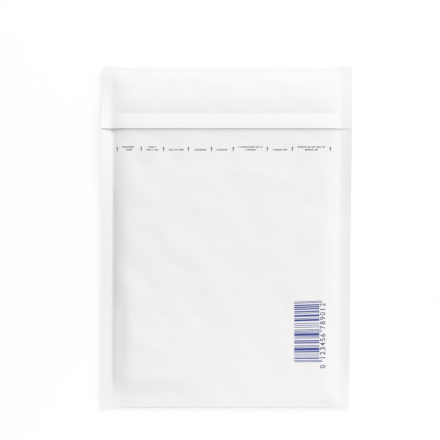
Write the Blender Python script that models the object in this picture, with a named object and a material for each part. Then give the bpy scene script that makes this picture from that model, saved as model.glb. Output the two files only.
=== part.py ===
"""A padded mailing envelope of white paper, lying on its back with its flap folded down over the front.

One sheet of paper lined with bubble film is folded at the bottom, pressed flat along both sides and folded over
again at the top, where its flap comes down over the front. So the whole envelope is one closed solid: a loft of
closed sections, each cut along the length at its own place across the width. Every height in a section comes
from two shares: how full the padding is across the width, and how full it is along the length.

+X is to the right as seen from the front, +Y towards the top fold and +Z up, out of the front. The origin is
under the middle of the envelope, on the surface it lies on.
"""

import math

import bmesh
import bpy

MM = 0.001

# The sleeve, from cut edge to cut edge and from the bottom fold to the top fold
WIDTH = 200 * MM
LENGTH = 275 * MM

# Side margins pressed flat: both sheets and the crushed film between them
SIDE_SEAM = 9 * MM
SEAM_THICKNESS = 0.6 * MM

# The padded body: how far each panel swells past the seams, and how far in from the crease it takes to do so
BACK_SWELL = 3 * MM
FRONT_SWELL = 5.2 * MM
SIDE_SHOULDER = 23 * MM
SHOULDER_POWER = 3.4

# The bottom fold: its depth where the padding is full, the share of the swell left there, and how far up it is back.
# Towards its corners the fold flattens, and the shoulders across and along meet there in a rounded hip.
BOTTOM_DEPTH = 2.6 * MM
BOTTOM_FULLNESS = 0.82
BOTTOM_TAPER = 30 * MM
BOTTOM_CORNER = 45 * MM
HIP_ROUNDING = 0.18

# The top fold presses the body together at its mouth, which then takes this far down to come back to full
MOUTH_THICKNESS = 2.6 * MM
MOUTH_TAPER = 58 * MM
MOUTH_POWER = 1.5

# The flap: a padded panel whose film is pressed flat at the fold and at the crease, then a lip of bare paper
FLAP_LENGTH = 51.2 * MM
FLAP_LIP = 12.3 * MM
FLAP_PADDING = 1.9 * MM
FLAP_SHOULDER = 16 * MM
FLAP_MARGIN = 0.4 * MM
FLAP_CLEARANCE = 0.4 * MM
LIP_LIFT = 0.9 * MM
LIP_LIFT_AT_SEAM = 0.3

# The flap's side margins stand this far over the side seams, which the flap draws up with it, most at its edge
MARGIN_STAND_OFF = 0.5 * MM
SEAM_LIFT = 2.5 * MM
SEAM_LIFT_TAPER = 75 * MM

# The top fold's depth, from its outermost line to where the flap runs straight, in the middle and on the margins
FOLD_DEPTH = 4.5 * MM
MARGIN_FOLD_DEPTH = 1.2 * MM
FOLD_WALL_SHARE = 1.2

# How finely the curved stretches are divided
SHOULDER_STEPS = 8
CORNER_STEPS = 3
TAPER_STEPS = 10
LIP_STEPS = 3
FOLD_STEPS = 10
SLIT_STEPS = 4

# Barcode: its right-hand edge from the right side, its foot from the bottom fold, and one module of the code
CODE_DIGITS = "0123456789012"
CODE_FROM_RIGHT = 25 * MM
CODE_FROM_BOTTOM = 37.5 * MM
CODE_WIDTH = 20.7 * MM
CODE_GUARD_EXTRA = 2.2 * MM
CODE_MODULE = 0.51 * MM

# Row of marks under the flap
MARKS_BELOW_FLAP = 15.6 * MM
MARK_HEIGHT = 3.4 * MM
MARK_WIDTH = 0.6 * MM
MARKS_INSET = 12.9 * MM
NOTE_CLEARANCE = 8.9 * MM
NOTE_WIDTHS = [10.3 * MM, 9 * MM, 11.1 * MM, 9.4 * MM, 8.5 * MM, 18.3 * MM, 11 * MM, 21.5 * MM]
UPPER_SHARES = [1, 0.6, 0, 0, 0, 1, 0, 1]
LOWER_SHARES = [0.4, 1, 1, 1, 1, 0.45, 1, 0.45]
UPPER_LINE = 1.2 * MM
LOWER_LINE = -1.2 * MM
LINE_HEIGHT = 0.9 * MM

PAPER_WHITE = (0.868, 0.868, 0.866, 1)
INK_BLUE = (0.06, 0.10, 0.36, 1)

SIDE_CREASE = WIDTH / 2 - SIDE_SEAM
SEAM_TOP = BACK_SWELL + SEAM_THICKNESS
BODY_THICKNESS = SEAM_TOP + FRONT_SWELL
TOP = LENGTH / 2
BOTTOM = -LENGTH / 2
PADDING_END = FLAP_LENGTH - FLAP_LIP
FLAP_EDGE = TOP - FLAP_LENGTH
LIP_CREASE = TOP - PADDING_END


def clamp(value):
    return min(max(value, 0.0), 1.0)


def blend(start, end, share):
    return start + (end - start) * share


def steps(start, end, count):
    """Evenly spaced values from start to end, both included."""
    return [blend(start, end, i / count) for i in range(count + 1)]


def rise(distance, reach, power):
    """From 0 to 1 over the reach: steepest at the start and level at the end."""
    return 1 - (1 - clamp(distance / reach)) ** power


def ease(value, low, high):
    """From 0 to 1 between two places, level at both ends."""
    share = clamp((value - low) / (high - low))
    return share * share * (3 - 2 * share)


def soft_min(first, second, width):
    """The smaller of two values, rounded off where they are less than the width apart."""
    share = clamp(0.5 + 0.5 * (second - first) / width)
    return blend(second, first, share) - width * share * (1 - share)


def fullness_across(x):
    """0 on the side seams, steep at their creases, and 1 past the padding's shoulders."""
    return rise(SIDE_CREASE - abs(x), SIDE_SHOULDER, SHOULDER_POWER)


def fullness(x, y):
    """How full the padding is, from 0 where the paper is pressed flat to 1."""
    fold_edge = BOTTOM_FULLNESS * rise(SIDE_CREASE - abs(x), BOTTOM_CORNER, 2)
    along = blend(fold_edge, 1 + HIP_ROUNDING, rise(y - BOTTOM, BOTTOM_TAPER, 2))
    return max(soft_min(fullness_across(x), along, HIP_ROUNDING), 0.0)


def seam_lift(y):
    """How much higher the side seams run near the flap than further down."""
    return SEAM_LIFT * ease(y, FLAP_EDGE - SEAM_LIFT_TAPER, FLAP_EDGE) * ease(TOP - y, 0, PADDING_END)


def back_height(x, y):
    return (BACK_SWELL + seam_lift(y)) * (1 - fullness(x, y))


def padded_front(y):
    """The front panel's height where nothing holds it down but the top fold."""
    return blend(MOUTH_THICKNESS, BODY_THICKNESS, rise(TOP - y, MOUTH_TAPER, MOUTH_POWER))


def front_height(x, y):
    return blend(SEAM_TOP + seam_lift(y), padded_front(y), fullness(x, y))


def flap_thickness(x, y):
    """Bare paper at the seams and past the crease, with the film between swelling from the fold and the crease."""
    from_fold = TOP - y
    along = rise(from_fold, FLAP_SHOULDER, 2) * rise(PADDING_END - from_fold, FLAP_SHOULDER, 2)
    return blend(FLAP_MARGIN, FLAP_PADDING, fullness_across(x) * along)


def flap_height(x, y):
    """The flap's outer face. Past its crease the lip springs up a little, least at the seams."""
    across = fullness_across(x)
    margin = SEAM_TOP + seam_lift(y) + MARGIN_STAND_OFF + FLAP_MARGIN
    middle = padded_front(y) + FLAP_CLEARANCE + flap_thickness(0, y)
    lift = LIP_LIFT * clamp((LIP_CREASE - y) / FLAP_LIP) * blend(LIP_LIFT_AT_SEAM, 1, across)
    return blend(margin, middle, across) + lift


def flap_under_height(x, y):
    return flap_height(x, y) - flap_thickness(x, y)


def half_round(x, y_from, depth, start, end, count):
    """Points between two heights on a half ellipse that bulges by depth, towards the top fold if it is positive."""
    middle = (start + end) / 2
    radius = (end - start) / 2
    angles = steps(-math.pi / 2, math.pi / 2, count)[1:-1]
    return [(x, y_from + depth * math.cos(a), middle + radius * math.sin(a)) for a in angles]


def section(x):
    """One closed section: up the back, round the fold, down the flap and up under it, then down the front."""
    across = fullness_across(x)
    fold_depth = blend(MARGIN_FOLD_DEPTH, FOLD_DEPTH, across)
    fold_start = TOP - fold_depth
    bottom_depth = blend(SEAM_THICKNESS / 2, BOTTOM_DEPTH, across)
    bottom_start = BOTTOM + bottom_depth
    slit_round = blend(FLAP_MARGIN, FLAP_CLEARANCE, across)
    slit_end = TOP - FOLD_WALL_SHARE * blend(FLAP_MARGIN, FLAP_PADDING, across) - slit_round

    bottom_rise = steps(bottom_start, BOTTOM + BOTTOM_TAPER, SHOULDER_STEPS)
    seam_rise = steps(FLAP_EDGE - SEAM_LIFT_TAPER, FLAP_EDGE, SHOULDER_STEPS)
    back = [*bottom_rise, *seam_rise, *steps(FLAP_EDGE, fold_start, SHOULDER_STEPS)[1:]]
    flap_out = steps(fold_start, LIP_CREASE, TAPER_STEPS) + steps(LIP_CREASE, FLAP_EDGE, LIP_STEPS)[1:]
    flap_in = steps(FLAP_EDGE, LIP_CREASE, LIP_STEPS) + steps(LIP_CREASE, slit_end, TAPER_STEPS)[1:]
    front = steps(slit_end, FLAP_EDGE, TAPER_STEPS) + seam_rise[-2::-1] + bottom_rise[::-1]

    points = [(x, y, back_height(x, y)) for y in back]
    points += half_round(x, fold_start, fold_depth, points[-1][2], flap_height(x, fold_start), FOLD_STEPS)
    points += [(x, y, flap_height(x, y)) for y in flap_out]
    points += [(x, y, flap_under_height(x, y)) for y in flap_in]
    points += half_round(x, slit_end, slit_round, points[-1][2], front_height(x, slit_end), SLIT_STEPS)
    points += [(x, y, front_height(x, y)) for y in front]
    points += half_round(x, bottom_start, -bottom_depth, points[-1][2], points[0][2], FOLD_STEPS)
    return points


def stations():
    """Places across the width: both cut edges, both side creases, and the shoulders and corners inside them."""
    shoulder = steps(-SIDE_CREASE, SIDE_SHOULDER - SIDE_CREASE, SHOULDER_STEPS)
    corner = steps(SIDE_SHOULDER - SIDE_CREASE, BOTTOM_CORNER - SIDE_CREASE, CORNER_STEPS)
    left = [-WIDTH / 2, *shoulder, *corner[1:]]
    return left + [-x for x in reversed(left)]


def sleeve_mesh():
    bm = bmesh.new()
    rings = [[bm.verts.new(point) for point in section(x)] for x in stations()]
    for ring, following in zip(rings, rings[1:]):
        for i, corner in enumerate(ring):
            bm.faces.new((ring[i - 1], corner, following[i], following[i - 1]))
    ends = [bm.faces.new(rings[0]), bm.faces.new(rings[-1])]
    bmesh.ops.triangulate(bm, faces=ends)
    bmesh.ops.recalc_face_normals(bm, faces=bm.faces)
    return bm


def code_bars():
    """(start, width, is_guard) of each bar, in modules, of a code whose first digit is 0."""
    odd = ["0001101", "0011001", "0010011", "0111101", "0100011"]
    odd += ["0110001", "0101111", "0111011", "0110111", "0001011"]
    even = [code.translate(str.maketrans("01", "10")) for code in odd]
    left = "".join(odd[int(digit)] for digit in CODE_DIGITS[1:7])
    right = "".join(even[int(digit)] for digit in CODE_DIGITS[7:])
    modules = "101" + left + "01010" + right + "101"
    middle = len(modules) / 2
    bars = []
    start = 0
    while start < len(modules):
        end = start
        while end < len(modules) and modules[end] == modules[start]:
            end += 1
        if modules[start] == "1":
            is_guard = min(start, len(modules) - end) < 3 or abs((start + end) / 2 - middle) < 2.5
            bars.append((start, end - start, is_guard))
        start = end
    return bars


def print_rectangle(bm, left, right, low, high):
    """Cuts one rectangle out of the front panel's faces and gives it the ink."""

    def on_print(face):
        centre = face.calc_center_median()
        return left < centre.x < right and low < centre.y < high

    faces = [f for f in bm.faces if f.normal.z > 0.5 and f.calc_center_median().y < FLAP_EDGE]
    for place, direction in (
        ((left, 0, 0), (1, 0, 0)),
        ((right, 0, 0), (1, 0, 0)),
        ((0, low, 0), (0, 1, 0)),
        ((0, high, 0), (0, 1, 0)),
    ):
        near = [
            f
            for f in faces
            if f.is_valid
            and min(v.co.x for v in f.verts) < right
            and max(v.co.x for v in f.verts) > left
            and min(v.co.y for v in f.verts) < high
            and max(v.co.y for v in f.verts) > low
        ]
        around = {e for f in near for e in f.edges} | {v for f in near for v in f.verts}
        cut = bmesh.ops.bisect_plane(
            bm, geom=[*near, *around], dist=0.01 * MM, plane_co=place, plane_no=direction
        )
        faces = [item for item in cut["geom"] if isinstance(item, bmesh.types.BMFace)]
    for face in faces:
        if on_print(face):
            face.material_index = 1


def print_barcode(bm):
    """The bars lie across and are stacked up the front, with the longer guard bars to the right."""
    left = WIDTH / 2 - CODE_FROM_RIGHT - CODE_WIDTH
    foot = BOTTOM + CODE_FROM_BOTTOM
    for start, width, is_guard in code_bars():
        right = left + CODE_WIDTH + (CODE_GUARD_EXTRA if is_guard else 0)
        print_rectangle(bm, left, right, foot + start * CODE_MODULE, foot + (start + width) * CODE_MODULE)


def print_block(bm, x, y, width, height):
    print_rectangle(bm, x - width / 2, x + width / 2, y - height / 2, y + height / 2)


def print_mark_row(bm):
    """Upright marks across the front under the flap, with one or two lines of small print between each two."""
    middle = FLAP_EDGE - MARKS_BELOW_FLAP
    mark = -WIDTH / 2 + MARKS_INSET
    print_block(bm, mark, middle, MARK_WIDTH, MARK_HEIGHT)
    for width, upper, lower in zip(NOTE_WIDTHS, UPPER_SHARES, LOWER_SHARES):
        note = mark + (width + NOTE_CLEARANCE) / 2
        for share, height in ((upper, UPPER_LINE), (lower, LOWER_LINE)):
            if share > 0:
                print_block(bm, note, middle + height, width * share, LINE_HEIGHT)
        mark += width + NOTE_CLEARANCE
        print_block(bm, mark, middle, MARK_WIDTH, MARK_HEIGHT)


def material(name, color, roughness):
    made = bpy.data.materials.new(name)
    made.use_nodes = True
    shader = made.node_tree.nodes["Principled BSDF"]
    shader.inputs["Base Color"].default_value = color
    shader.inputs["Roughness"].default_value = roughness
    shader.inputs["Metallic"].default_value = 0
    return made


def padded_envelope():
    bm = sleeve_mesh()
    print_barcode(bm)
    print_mark_row(bm)
    mesh = bpy.data.meshes.new("padded_envelope")
    bm.to_mesh(mesh)
    bm.free()
    mesh.materials.append(material("white_paper", PAPER_WHITE, 0.75))
    mesh.materials.append(material("blue_ink", INK_BLUE, 0.6))
    mesh.shade_smooth()
    mesh.set_sharp_from_angle(angle=math.radians(25))
    envelope = bpy.data.objects.new("padded_envelope", mesh)
    bpy.context.scene.collection.objects.link(envelope)
    return envelope


for leftover in list(bpy.data.objects):
    bpy.data.objects.remove(leftover)

padded_envelope()
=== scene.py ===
# %% [markdown]
# # A padded mailing envelope
#
# The real thing is one sheet of white paper with bubble film bonded to its inside. The sheet is folded at
# the bottom, pressed flat along both sides, and folded over at the top as a flap that ends in a lip of bare
# paper. Nearly everything is white, so the eye reads it by slopes: how steeply the padding rises beside
# each seam, how the flap leans on the front, how the lip springs off its crease. This file makes those
# slopes first, lets a cloth solver crumple them a little, and only then adds grain, ink and light.
#
# Every length is in metres and every piece shares one frame: +X to the right seen from the front, +Y
# towards the top fold, +Z up out of the front.

# %% Load the measured frame
import math

import bmesh
import bpy
import numpy as np
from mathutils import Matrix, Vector, noise
from mathutils.bvhtree import BVHTree


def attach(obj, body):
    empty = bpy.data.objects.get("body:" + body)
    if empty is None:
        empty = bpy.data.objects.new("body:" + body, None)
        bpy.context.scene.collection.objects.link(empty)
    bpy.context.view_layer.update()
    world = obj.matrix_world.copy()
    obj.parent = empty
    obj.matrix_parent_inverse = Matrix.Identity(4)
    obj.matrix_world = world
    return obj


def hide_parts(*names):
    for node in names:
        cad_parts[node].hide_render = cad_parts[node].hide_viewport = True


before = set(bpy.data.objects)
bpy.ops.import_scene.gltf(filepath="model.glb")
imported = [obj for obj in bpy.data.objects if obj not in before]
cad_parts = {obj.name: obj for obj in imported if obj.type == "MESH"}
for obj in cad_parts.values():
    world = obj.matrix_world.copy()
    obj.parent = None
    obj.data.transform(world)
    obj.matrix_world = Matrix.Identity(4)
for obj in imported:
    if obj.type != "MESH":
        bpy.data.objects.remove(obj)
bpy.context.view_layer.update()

# %% [markdown]
# ## Sizes
#
# A maker keeps the driving sizes in one place. These are the solid model's own, under the same names, so
# the fine sleeve made here lies where the solid lies. Everything else below is worked out from them.

# %% Sizes of the envelope
MM = 0.001


def in_mm(length):
    """A length as text, for the line that a cell prints about what it made."""
    return f"{float(length) / MM:.2f} mm"


WIDTH = 200 * MM
LENGTH = 275 * MM
SIDE_SEAM = 9 * MM
SEAM_THICKNESS = 0.6 * MM

BACK_SWELL = 3 * MM
FRONT_SWELL = 5.2 * MM
SIDE_SHOULDER = 23 * MM
SHOULDER_POWER = 3.4
BOTTOM_DEPTH = 2.6 * MM
BOTTOM_FULLNESS = 0.82
BOTTOM_TAPER = 30 * MM
BOTTOM_CORNER = 45 * MM
HIP_ROUNDING = 0.18
MOUTH_THICKNESS = 2.6 * MM
MOUTH_TAPER = 58 * MM
MOUTH_POWER = 1.5

FLAP_LENGTH = 51.2 * MM
FLAP_LIP = 12.3 * MM
FLAP_PADDING = 1.9 * MM
FLAP_SHOULDER = 16 * MM
FLAP_MARGIN = 0.4 * MM
FLAP_CLEARANCE = 0.4 * MM
LIP_LIFT = 0.9 * MM
LIP_LIFT_AT_SEAM = 0.3
MARGIN_STAND_OFF = 0.5 * MM
SEAM_LIFT = 2.5 * MM
SEAM_LIFT_TAPER = 75 * MM
FOLD_DEPTH = 4.5 * MM
MARGIN_FOLD_DEPTH = 1.2 * MM
FOLD_WALL_SHARE = 1.2

SIDE_CREASE = WIDTH / 2 - SIDE_SEAM
SEAM_TOP = BACK_SWELL + SEAM_THICKNESS
BODY_THICKNESS = SEAM_TOP + FRONT_SWELL
TOP = LENGTH / 2
BOTTOM = -LENGTH / 2
PADDING_END = FLAP_LENGTH - FLAP_LIP
FLAP_EDGE = TOP - FLAP_LENGTH
LIP_CREASE = TOP - PADDING_END
print("flap edge at y =", in_mm(FLAP_EDGE))
print("side creases at x = +-", in_mm(SIDE_CREASE))

# %% [markdown]
# ## The shape as a rule
#
# A padded envelope has no part that was drawn freehand: its height at any place depends on how far that
# place is from the nearest seam or fold. A surface like this could be sculpted, but a rule is easier to
# correct, because one number moves a whole shoulder. `rise` is the basic curve, steepest at the seam and
# level where the padding is full. Two such curves, across and along, meet in a soft diagonal hip at the
# bottom corners.

# %% How full the padding is


def blend(start, end, share):
    return start + (end - start) * share


def rise(distance, reach, power):
    """From 0 to 1 over the reach: steepest at the start and level at the end."""
    return 1 - (1 - np.clip(distance / reach, 0, 1)) ** power


def ease(value, low, high):
    """From 0 to 1 between two places, level at both ends."""
    share = np.clip((value - low) / (high - low), 0, 1)
    return share * share * (3 - 2 * share)


def soft_min(a, b, width):
    share = np.clip(0.5 + 0.5 * (b - a) / width, 0, 1)
    return b * (1 - share) + a * share - width * share * (1 - share)


def from_seams(x, reach, power=2):
    """From 0 at either side crease to 1 at that reach inside it."""
    return rise(SIDE_CREASE - np.abs(x), reach, power)


def fullness_across(x):
    return from_seams(x, SIDE_SHOULDER, SHOULDER_POWER)


def fullness(x, y):
    fold_edge = BOTTOM_FULLNESS * from_seams(x, BOTTOM_CORNER)
    along = blend(fold_edge, 1 + HIP_ROUNDING, rise(y - BOTTOM, BOTTOM_TAPER, 2))
    return np.maximum(soft_min(fullness_across(x), along, HIP_ROUNDING), 0)


print("fullness 5 mm inside the crease:", round(float(fullness(SIDE_CREASE - 5 * MM, 0.0)), 2))

# %% [markdown]
# ## Heights of each face
#
# The envelope has four faces to place: back, front, and the flap's inner and outer face. The side margins
# are only paper and crushed film, so they curl: the left one lifts towards the flap, the right one a little
# all the way up. On a real envelope those curls are what catches the light along its edges.
#
# The bottom left corner has been leaned on and lies nearly flat. The flap is a second pad on top of the
# first, so it puffs up towards its lip and its padding ends a little outside the front's. Its left margin
# stands off the front and its right margin lies close. Each of these is one named height and the stretch
# over which it comes in.

# %% Heights of the faces
LEFT_CURL = 2.5 * MM
LEFT_CURL_RISES = (-5 * MM, 72 * MM)
LEFT_TOP_CURL = 0.9 * MM
LEFT_TOP_CURL_RISES = (40 * MM, 78 * MM)
LEFT_FOOT_CURL = 0.4 * MM
RIGHT_CURL = 1.2 * MM
RIGHT_FOOT_DROP = 2.0 * MM
RIGHT_FOOT_DROPS = (95 * MM, 125 * MM)
CURL_POWER = 1.3
FREE_OF_THE_FOLD = (22 * MM, 54 * MM)

FLAT_CORNER_POWER = 1.3
FLAT_CORNER_ACROSS = (0, 40 * MM)
FLAT_CORNER_ENDS = (8 * MM, 27 * MM)
EASED_CREASE_ENDS = (27 * MM, 60 * MM)
EASED_CREASE_SHARE = 0.2

LEFT_STANDS_OFF = 0.8 * MM
LEFT_STAND_OFF_RISES = (10 * MM, 36 * MM)
RIGHT_LIES_CLOSE = 0.45 * MM
RIGHT_CLOSES_IN = (22 * MM, 38 * MM)
LEFT_FOLD_PUFF = 0.6 * MM
LEFT_FOLD_PUFF_RISES = (0, 8 * MM)
LEFT_FOLD_PUFF_FALLS = (8 * MM, 24 * MM)
FLAP_PUFF = 0.8 * MM
FLAP_CURL_SHARE = 0.78
FLAP_OVERHANG = 0.8 * MM


def margin_share(x):
    """0 at a side crease and 1 at the cut edge outside it."""
    return np.clip((np.abs(x) - SIDE_CREASE) / SIDE_SEAM, 0, 1)


def margin_curl(x, y):
    left = LEFT_FOOT_CURL + LEFT_CURL * ease(y, *LEFT_CURL_RISES)
    left += LEFT_TOP_CURL * ease(y, *LEFT_TOP_CURL_RISES)
    right = RIGHT_CURL - RIGHT_FOOT_DROP * ease(-y, *RIGHT_FOOT_DROPS)
    below_fold = ease(TOP - y, *FREE_OF_THE_FOLD)
    return np.where(x < 0, left, right) * margin_share(x) ** CURL_POWER * below_fold


def seam_lift(y):
    """The flap draws the side seams up with it, most at its cut edge."""
    return SEAM_LIFT * ease(y, FLAP_EDGE - SEAM_LIFT_TAPER, FLAP_EDGE) * ease(TOP - y, 0, PADDING_END)


def back_height(x, y):
    return (BACK_SWELL + seam_lift(y)) * (1 - fullness(x, y)) + margin_curl(x, y)


def padded_front(y):
    return blend(MOUTH_THICKNESS, BODY_THICKNESS, rise(TOP - y, MOUTH_TAPER, MOUTH_POWER))


def flattened_corner(x, y):
    """How much fullness the front has lost at its bottom left corner, which lies nearly flat."""
    flat = BOTTOM_FULLNESS * from_seams(x, SIDE_CREASE, FLAT_CORNER_POWER)
    above = y - BOTTOM
    near = 1 - (1 - EASED_CREASE_SHARE) * ease(above, *FLAT_CORNER_ENDS)
    near -= EASED_CREASE_SHARE * ease(above, *EASED_CREASE_ENDS)
    return np.maximum(fullness(x, y) - flat, 0) * ease(-x, *FLAT_CORNER_ACROSS) * near


def front_height(x, y):
    full = fullness(x, y) - flattened_corner(x, y)
    return blend(SEAM_TOP + seam_lift(y), padded_front(y), full) + margin_curl(x, y)


def flap_thickness(x, y):
    """Bare paper at the seams and past the crease, and full film between, flattened again at the fold."""
    from_fold = TOP - y
    along = rise(from_fold, FLAP_SHOULDER, 2) * rise(PADDING_END - from_fold, FLAP_SHOULDER, 2)
    return blend(FLAP_MARGIN, FLAP_PADDING, fullness_across(x) * along)


def flap_height(x, y):
    from_fold = TOP - y
    fold_puff = ease(from_fold, *LEFT_FOLD_PUFF_RISES) * (1 - ease(from_fold, *LEFT_FOLD_PUFF_FALLS))
    left_off = LEFT_STANDS_OFF * ease(from_fold, *LEFT_STAND_OFF_RISES) + LEFT_FOLD_PUFF * fold_puff
    right_off = -RIGHT_LIES_CLOSE * ease(from_fold, *RIGHT_CLOSES_IN)
    stand_off = MARGIN_STAND_OFF + np.where(x < 0, left_off, right_off)
    margin = SEAM_TOP + seam_lift(y) + stand_off + FLAP_MARGIN
    middle = padded_front(y) + FLAP_CLEARANCE + FLAP_PUFF * from_fold / FLAP_LENGTH + flap_thickness(0.0, y)
    across = fullness_across(np.maximum(np.abs(x) - FLAP_OVERHANG, 0))
    past_crease = np.clip((from_fold - PADDING_END) / FLAP_LIP, 0, 1)
    lift = LIP_LIFT * past_crease * blend(LIP_LIFT_AT_SEAM, 1, across)
    return blend(margin, middle, across) + lift + FLAP_CURL_SHARE * margin_curl(x, y)


print("height over the front:", in_mm(front_height(0.0, 0.0)))
print("height over the flap:", in_mm(flap_height(0.0, LIP_CREASE)))

# %% [markdown]
# ## One closed loft
#
# A section straight through the envelope is one closed line: up the back, round the top fold, down the flap
# to its cut edge, up inside the flap, and down the front to the bottom fold. Such a section is computed at
# each station across the width and joined to the next by quads. The alternative, separate sheets that only
# touch, would leave open edges in every printed or exported copy. Divisions are counted per stretch and
# close up where the sheet bends most: at the folds, at the flap's crease and just below its cut edge.

# %% Sections
FOOT_STEPS = 5
LONG_STEPS = 48
FOLD_STEPS = 5
FLAP_STEPS = 7
LIP_STEPS = 3
SLIT_STEPS = 2
CREASE_ZONE = 1.5 * MM
LIP_ZONE = 9 * MM
FOOT_SQUARENESS = 0.4


def through(stops, counts, detail):
    """Values through the stops, each stretch divided into its count times the detail."""
    stretches = [np.linspace(a, b, n * detail, endpoint=False) for a, b, n in zip(stops, stops[1:], counts)]
    return np.append(np.concatenate(stretches), stops[-1])


def half_round(y_from, depth, start, end, count, power=1.0):
    """A half ellipse between two heights that bulges by depth; a power below 1 squares its corners."""
    angles = np.linspace(-math.pi / 2, math.pi / 2, count + 1)[1:-1]
    return y_from + depth * np.cos(angles) ** power, (start + end) / 2 + (end - start) / 2 * np.sin(angles)


def flap_inside_height(x, y):
    return flap_height(x, y) - flap_thickness(x, y)


def section(x, detail):
    """One closed section as arrays of y, height, panel name and side of the sheet (0 outside, 1 inside)."""
    across = float(fullness_across(x))
    fold_start = TOP - blend(MARGIN_FOLD_DEPTH, FOLD_DEPTH, across)
    foot_depth = blend(SEAM_THICKNESS / 2, BOTTOM_DEPTH, across)
    foot_start = BOTTOM + foot_depth
    slit_round = blend(FLAP_MARGIN, FLAP_CLEARANCE, across)
    slit_end = TOP - FOLD_WALL_SHARE * blend(FLAP_MARGIN, FLAP_PADDING, across) - slit_round
    foot_end = BOTTOM + BOTTOM_TAPER

    back = through([foot_start, foot_end, fold_start], [FOOT_STEPS, LONG_STEPS], detail)
    flap = through(
        [fold_start, LIP_CREASE + CREASE_ZONE, LIP_CREASE, LIP_CREASE - CREASE_ZONE, FLAP_EDGE],
        [FLAP_STEPS, 1, 1, LIP_STEPS],
        detail,
    )
    inside = through([FLAP_EDGE, LIP_CREASE, slit_end], [LIP_STEPS, FLAP_STEPS], detail)
    front = through(
        [slit_end, FLAP_EDGE + LIP_ZONE / 3, FLAP_EDGE - LIP_ZONE, foot_end, foot_start],
        [FLAP_STEPS, FLAP_STEPS, LONG_STEPS - 2 * FLAP_STEPS, FOOT_STEPS],
        detail,
    )

    back_z, flap_z = back_height(x, back), flap_height(x, flap)
    inside_z, front_z = flap_inside_height(x, inside), front_height(x, front)
    fold = half_round(fold_start, TOP - fold_start, back_z[-1], flap_z[0], FOLD_STEPS * detail)
    slit = half_round(slit_end, slit_round, inside_z[-1], front_z[0], SLIT_STEPS * detail)
    foot = half_round(foot_start, -foot_depth, front_z[-1], back_z[0], FOLD_STEPS * detail, FOOT_SQUARENESS)
    foot_side = np.linspace(1, 0, FOLD_STEPS * detail + 1)[1:-1]

    runs = [
        ("back", back, back_z, 0),
        ("fold", *fold, 0),
        ("flap", flap, flap_z, 0),
        ("inside", inside, inside_z, 1),
        ("slit", *slit, 1),
        ("front", front, front_z, 1),
        ("foot", *foot, foot_side),
    ]
    y = np.concatenate([run[1] for run in runs])
    z = np.concatenate([run[2] for run in runs])
    panel = np.concatenate([np.full(len(run[1]), run[0]) for run in runs])
    side = np.concatenate([np.full(len(run[1]), run[3]) if np.isscalar(run[3]) else run[3] for run in runs])
    return y, z, panel, side


print("points in one coarse section:", len(section(0.0, 1)[0]))

# %% The loft
SEAM_STEPS = 2
SHOULDER_STEPS = 6
MIDDLE_STEPS = 14
DETAIL = 3


def stations(detail):
    left = through(
        [-WIDTH / 2, -SIDE_CREASE, SIDE_SHOULDER - SIDE_CREASE, 0],
        [SEAM_STEPS, SHOULDER_STEPS, MIDDLE_STEPS],
        detail,
    )
    return np.concatenate([left, -left[-2::-1]])


def loft(detail):
    """Points as stations by places round the section, with each place's panel and side of the sheet."""
    across = stations(detail)
    sections = [section(x, detail) for x in across]
    rows = [np.column_stack([np.full(len(y), x), y, z]) for x, (y, z, _, _) in zip(across, sections)]
    return np.array(rows), sections[0][2], sections[0][3]


def placed(name, data):
    """Puts a mesh, text, lamp or camera into the scene as an object, unturned at the origin."""
    made = bpy.data.objects.new(name, data)
    bpy.context.scene.collection.objects.link(made)
    return made


def mesh_object(name, points, edges, faces):
    mesh = bpy.data.meshes.new(name)
    mesh.from_pydata(points, edges, faces)
    return placed(name, mesh)


def skin(name, points):
    """A closed mesh over the loft's points: quads between the sections and a cap at each cut edge."""
    rows, around = points.shape[:2]
    corner = np.arange(rows * around).reshape(rows, around)
    before = np.roll(corner, 1, axis=1)
    quads = np.stack([before[:-1], corner[:-1], corner[1:], before[1:]], axis=-1).reshape(-1, 4)
    caps = [corner[0].tolist(), corner[-1].tolist()]
    return mesh_object(name, points.reshape(-1, 3).tolist(), [], quads.tolist() + caps)


rest, panels, sheet_sides = loft(DETAIL)
print("fine loft:", rest.shape[0], "stations of", rest.shape[1], "points")

# %% [markdown]
# ## Paper that has been handled
#
# New paper over bubble film is never quite flat. It carries long shallow ripples that start at the seams
# and run down across the panel, and the flap shows a finer mottling where the bubbles push through. Where
# the lip is stuck down it draws the front's paper up with it, in a short steep bank along its cut edge.
# These are tenths of a millimetre, but on a white surface they are most of what there is to see, so they
# are moved points and not a bump in the material. The whole sleeve also leans a little: its sides aren't
# quite square to its folds. And where the bottom fold lies flat, its paper isn't spent on swelling, so it
# reaches a little further down.
#
# Noise at a few sizes would do for cloth, but paper remembers single knocks, so a few dents are listed.

# %% Ripples
RIPPLE_TURN = math.radians(-52)
LEAN = 0.008
BODY_LEAN_SHARE = 0.55
WORN_AT_RIGHT = 0.45
WORN_TOWARDS_LEFT = (-10 * MM, 70 * MM)
BUBBLE_PITCH = 10 * MM
SWELLING_UNDER_LIP = 0.3 * MM
ROLL_UNDER_LIP = 14 * MM
DRAWN_UP = 1.4 * MM
DRAWN_UP_REACH = 2 * MM
FLAT_REACH = 1.55 * MM

# Each layer of ripples: height, then width, length, turn and seed of its noise.
LONG_RIPPLES = (0.85 * MM, 22 * MM, 45 * MM, RIPPLE_TURN, 3.1)
SHORT_RIPPLES = (0.30 * MM, 13 * MM, 26 * MM, RIPPLE_TURN + 0.5, 8.7)
BUBBLE_RIPPLES = (0.03 * MM, 5 * MM, 6 * MM, 0.4, 5.5)
FLAP_MOTTLING = (0.14 * MM, 9 * MM, 14 * MM, 1.2, 12.4)
FLAP_RIPPLES = (0.25 * MM, 24 * MM, 32 * MM, -0.7, 2.9)

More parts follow.
